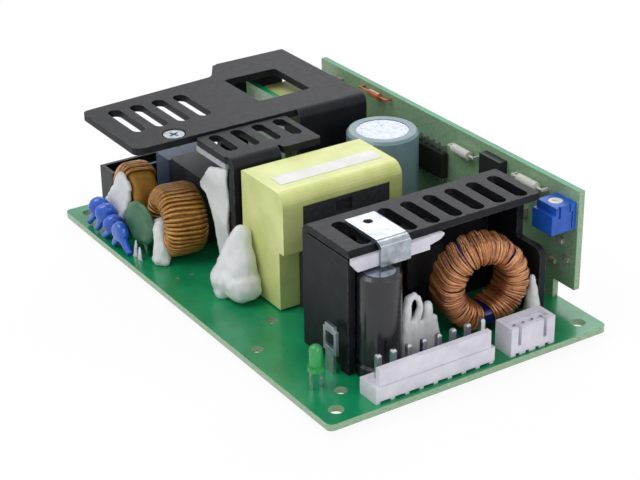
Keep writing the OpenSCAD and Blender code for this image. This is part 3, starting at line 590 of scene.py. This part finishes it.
def ribbon(pts, w, z, closed=False):
    """A flat line of width w on the board along 2-D points."""
    n = len(pts)
    P = [Vector((x, y)) for x, y in pts]
    verts, faces = [], []
    for i in range(n):
        a = P[(i - 1) % n] if closed or i else P[0]
        b = P[(i + 1) % n] if closed or i < n - 1 else P[-1]
        t = (b - a).normalized()
        nn = Vector((-t.y, t.x)) * (w / 2)
        for q in (P[i] + nn, P[i] - nn):
            verts.append((q.x, q.y, z))
    m = n if closed else n - 1
    for i in range(m):
        j = (i + 1) % n
        faces.append((2 * i, 2 * i + 1, 2 * j + 1, 2 * j))
    return verts, faces


def arc(cx, cy, r, a0=0, a1=360, n=40):
    return [(cx + r * math.cos(math.radians(a0 + (a1 - a0) * i / n)), cy + r * math.sin(math.radians(a0 + (a1 - a0) * i / n))) for i in range(n + (a1 - a0 < 360))]


def rbox(x0, x1, y0, y1, r, n=5):
    out = []
    for cx, cy, a in ((x1 - r, y1 - r, 0), (x0 + r, y1 - r, 90), (x0 + r, y0 + r, 180), (x1 - r, y0 + r, 270)):
        out += [(cx + r * math.cos(math.radians(a + 90 * i / n)), cy + r * math.sin(math.radians(a + 90 * i / n))) for i in range(n + 1)]
    return out


# ---------------------------------------------------------------- windings
def copper(name, c, dark, rough=0.28):
    m = Mat(name, rough=rough, metal=0.35, spec=0.6, coat=0.45, coat_rough=0.12)
    col = m.ramp(m.noise(900, 4), [(0.25, hexc(dark)), (0.6, hexc(c))])
    fine = m.ramp(m.noise(3500, 2), [(0.35, (0.82, 0.82, 0.82)), (0.65, (1, 1, 1))])
    m.colour(m.mix(1.0, col, fine, "MULTIPLY"))
    m.roughness(rough - 0.06, rough + 0.14, 1500)
    m.bump(m.noise(2600, 2), 0.01)
    return m.done()


OUT = [copper("strand_light", "#dca06c", "#c07c48"), copper("strand_mid", "#cc8c58", "#a96636"), copper("strand_deep", "#b8744a", "#8c4a28")]
GOLD = [copper("enamel_gold", "#c08a3c", "#96641e"), copper("enamel_amber", "#b07a2c", "#855416")]
wound("output_strands", (47.8, 12.9, 12.3), -10, (6.4, 10.4, 7.4, 1.5), 22, 12, 348, 6, 0.56, OUT, "output_choke_winding", steps=30, sides=6, lean=4.5, crown=0.42, gaps=((131, 2.6), (192, 1.6), (212, 2.8), (231, 1.8), (256, 1.6)), seed=4, stack=0.9, spread=1.0, jitter=0.1)
wound("front_choke_turns", (-24.6, -25.0, 9.4), 82, (4.3, 8.2, 9.2, 1.9), 38, 62, 372, 1, 0.92, GOLD, "front_choke_winding", steps=32, sides=8, lean=2.0, seed=7, stack=0.8, jitter=0.1)
wound("rear_choke_turns", (-42.2, -26.7, 9.4), 83, (4.5, 8.1, 6.8, 1.7), 17, 20, 200, 1, 0.95, GOLD, "rear_choke_winding", steps=32, sides=8, lean=2.0, seed=9, stack=0.8, jitter=0.12)
wound("small_choke_turns", (-20.9, -10.2, 5.1), 4, (2.75, 4.45, 2.9, 0.8), 22, 15, 345, 1, 0.5, OUT[1:], "small_choke", steps=24, sides=6, lean=2.0, seed=11, stack=0.5, jitter=0.05)


# ------------------------------------------------------- adhesive and film
def fill(poly, plane, at, r, step=0.6):
    """Balls over a polygon; plane "xz" puts it at y = at, plane "yz" at x = at."""
    xs, zs = [p[0] for p in poly], [p[1] for p in poly]
    out = []

    def inside(x, z):
        hit = False
        for (x0, z0), (x1, z1) in zip(poly, poly[1:] + poly[:1]):
            if (z0 > z) != (z1 > z) and x < (x1 - x0) * (z - z0) / (z1 - z0) + x0:
                hit = not hit
        return hit

    nx, nz = int((max(xs) - min(xs)) / step) + 1, int((max(zs) - min(zs)) / step) + 1
    for i in range(nx + 1):
        for k in range(nz + 1):
            x, z = min(xs) + i * step, min(zs) + k * step
            if inside(x, z):
                rr = r(x, z) if callable(r) else r
                y = at(x, z) if callable(at) else at
                out.append(((x, y, z) if plane == "xz" else (y, x, z), rr))
    return out


def path(pts):
    """Rods joining (point, radius) pairs."""
    return [(a[0], a[1], b[0], b[1]) for a, b in zip(pts, pts[1:])]


lump("adhesive_transformer", [
    ((1, -25.4, 4.4), 4.7, (6.4, -24.7, 4.3), 4.6),
    ((1, -25.2, 5), 4.6, (3.4, -23.4, 16.6), 1.9),
    ((6, -24.6, 4.6), 4.4, (3.6, -23.2, 15.8), 2.2),
    ((4, -24.2, 8), 3.6, (3.2, -22.8, 15.5), 2.4),
    ((-2.2, -26.6, 1.6), 1.8, (2, -28.2, 1.2), 1.6)],
    M["silicone"], ["silicone_transformer"], noise=0.5, noise_size=4.5, smooth=14, cut=[(1, -1, -20.52)])

plate = [(-42.6, 17.2), (-46, 12.4), (-50.2, 6.4), (-50.4, 1.0), (-43.4, 0.6), (-40.6, 6.2), (-38, 10.6), (-37.2, 14.6), (-40.8, 17.2)]
lump("adhesive_input", path([((-22, -31.5, 1.6), 2.4), ((-22.3, -31.0, 5.0), 2.1), ((-23.6, -30.8, 8.2), 1.7), ((-24.6, -29.4, 8.8), 2.2)])
     + [((-25.2, -29.8, 8.6), 2.2, (-24.0, -20.2, 8.6), 2.0), ((-20.6, -31.4, 1.0), 1.4, (-23.2, -32.2, 1.0), 1.4)]
     + fill(plate, "xz", lambda x, z: -31.6 - 0.02 * abs(x + 44) + 0.02 * z, lambda x, z: 0.75 + 0.9 * max(0, 1 - z / 12), 0.62)
     + [((-44.5, -31.4, 1.6), 1.9, (-49, -31.6, 1.4), 1.5)],
     M["silicone"], ["silicone_input"], noise=0.26, noise_size=3.2, voxel=0.26, smooth=8)

lump("adhesive_output",
     path([((52.4, -10.9, 0.9), 1.4), ((52.5, -11.0, 7), 1.35), ((52.5, -10.9, 14), 1.15), ((52.5, -10.2, 16.6), 0.95), ((52.6, -9.0, 17.2), 0.8), ((52.7, -7.8, 16.2), 0.75), ((52.7, -7.3, 13.8), 0.8), ((52.4, -7.8, 11.4), 1.1)])
     + [((52.3, -8.6, 1), 1.6, (52.3, -8.6, 10.2), 1.3), ((52.2, -5.2, 1), 1.8, (52.2, -4.9, 13.2), 1.2), ((52.3, -2.6, 1), 1.7, (52.2, -3.4, 9.6), 1.1),
        ((52.4, -11, 1.1), 1.3, (52.4, -0.6, 1.1), 1.2), ((52.2, -6.8, 1), 1.4, (52.2, -6.8, 9.4), 1.0)],
     M["silicone"], ["silicone_output"], noise=0.22, noise_size=2.6, voxel=0.24, smooth=8, cut=[(0, 1, 50.8)])

lump("adhesive_side", [((51.9, 25.2, 1.6), 2.4, (51.6, 25.2, 11.0), 0.8), ((50.6, 24.6, 1.2), 1.8, (53.0, 25.2, 1.2), 1.6)],
     M["silicone"], ["silicone_side"], noise=0.25, noise_size=2.6, voxel=0.26, smooth=8, cut=[(1, -1, 26.6)])

film = [(-5.8, 28.6), (-5.9, 0.8), (-8.8, 0.8), (-12.0, 14), (-15.2, 19.2), (-18.0, 19.9), (-18.1, 21.0), (-13.3, 26.2)]
lump("white_drape", fill(film, "xz", lambda x, z: -21.3 - 0.25 * math.sin(0.55 * z), 0.55, 0.42)
     + path([((-5.8, -21.3, 28.5), 0.55), ((-13.3, -21.3, 26.1), 0.6), ((-18.0, -21.3, 20.9), 0.65), ((-18.0, -21.2, 20.0), 0.65), ((-15.2, -21.3, 19.3), 0.65), ((-12.0, -21.3, 14.1), 0.6), ((-8.8, -21.3, 1.0), 0.6)]),
     M["silicone"], ["insulating_film"], noise=0.16, noise_size=3.0, voxel=0.2, smooth=6, cut=[(1, -1, -20.86)])


# --------------------------------------------------------------- dipped parts
def softened(name, node, mat, voxel=0.2, smooth=4, noise=0.05, size=2.0, inward=False, body="supply"):
    """A copy of a node's solid with soft rounded edges and small unevenness."""
    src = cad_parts[node]
    o = bpy.data.objects.new(name + "_source", src.data.copy())
    scene.collection.objects.link(o)
    r = o.modifiers.new("r", "REMESH")
    r.mode = "VOXEL"
    r.voxel_size = voxel * MM
    s = o.modifiers.new("s", "SMOOTH")
    s.factor = 0.5
    s.iterations = smooth
    dg = bpy.context.evaluated_depsgraph_get()
    fin = bpy.data.meshes.new_from_object(o.evaluated_get(dg))
    bpy.data.objects.remove(o)
    from mathutils import noise as ns
    for v in fin.vertices:
        p = v.co / MM / size
        w = ns.noise(p) + 0.5 * ns.noise(p * 2.2)
        if inward:
            w = -abs(w)
        v.co = v.co + v.normal * (noise * w * MM)
    fin.materials.clear()
    fin.materials.append(mat)
    fin.shade_smooth()
    o = bpy.data.objects.new(name, fin)
    scene.collection.objects.link(o)
    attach(o, body)
    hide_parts(node)
    return o


for k in (1, 2, 3, 4):
    softened(f"dipped_capacitor_{k}", f"blue_capacitor_{k}", M["blue_epoxy"], 0.16, 8, 0.1, 2.4)
softened("dipped_disc", "surge_disc", M["green_epoxy"], 0.18, 8, 0.1, 3.0)
